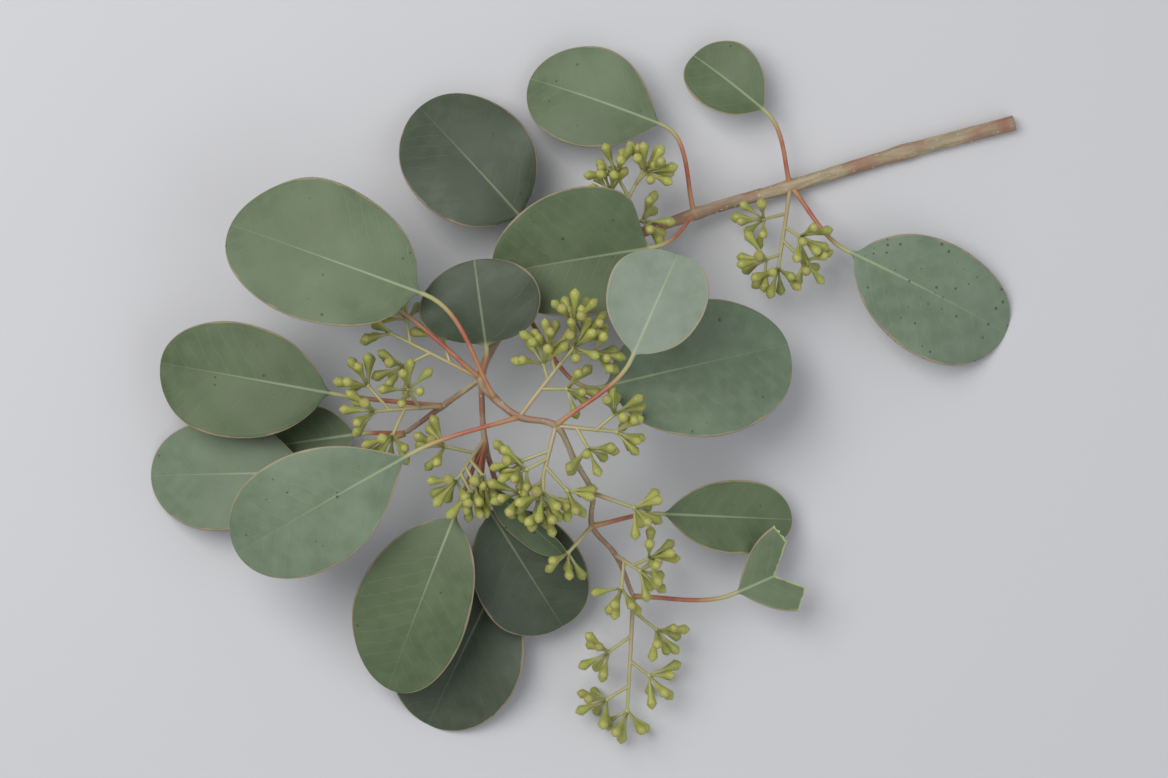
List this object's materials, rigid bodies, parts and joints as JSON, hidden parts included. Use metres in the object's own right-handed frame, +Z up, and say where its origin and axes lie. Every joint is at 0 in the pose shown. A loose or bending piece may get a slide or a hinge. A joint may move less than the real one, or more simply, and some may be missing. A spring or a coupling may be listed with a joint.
{
  "type": "eucalyptus gum nut sprig",
  "caption": "Cut eucalyptus shoot with round grey-green leaves on long stalks and sprays of gum nuts in bud, lying on a flat surface.",
  "frame": {"origin": "centre of the footprint, on the surface that the sprig lies on", "axes": "+Z up, +X along the longest side, towards the cut end of the stem"},
  "size_m": [0.2966, 0.2402, 0.0646],
  "materials": {
    "stem": "smooth young bark, tan and grey-olive, reddish in the shade",
    "leaf": "leathery grey-green leaf with a waxy bloom, a pale midrib and a tan margin",
    "gum_nut": "satin yellow-green bud with a tan tip"
  },
  "bodies": {
    "root": {"stem": "stem", "leaf_01": "leaf", "leaf_02": "leaf", "leaf_03": "leaf", "leaf_04": "leaf", "leaf_05": "leaf", "leaf_06": "leaf", "leaf_07": "leaf", "leaf_08": "leaf", "leaf_09": "leaf", "leaf_10": "leaf", "leaf_11": "leaf", "leaf_12": "leaf", "leaf_13": "leaf", "leaf_14": "leaf", "leaf_15": "leaf", "leaf_16": "leaf", "leaf_17": "leaf", "leaf_18": "leaf", "leaf_19": "leaf", "leaf_20": "leaf", "gum_nuts_01": "gum_nut", "gum_nuts_02": "gum_nut", "gum_nuts_03": "gum_nut", "gum_nuts_04": "gum_nut", "gum_nuts_05": "gum_nut", "gum_nuts_06": "gum_nut", "gum_nuts_07": "gum_nut", "gum_nuts_08": "gum_nut", "gum_nuts_09": "gum_nut", "gum_nuts_10": "gum_nut", "gum_nuts_11": "gum_nut", "gum_nuts_12": "gum_nut"}
  },
  "joints": []
}
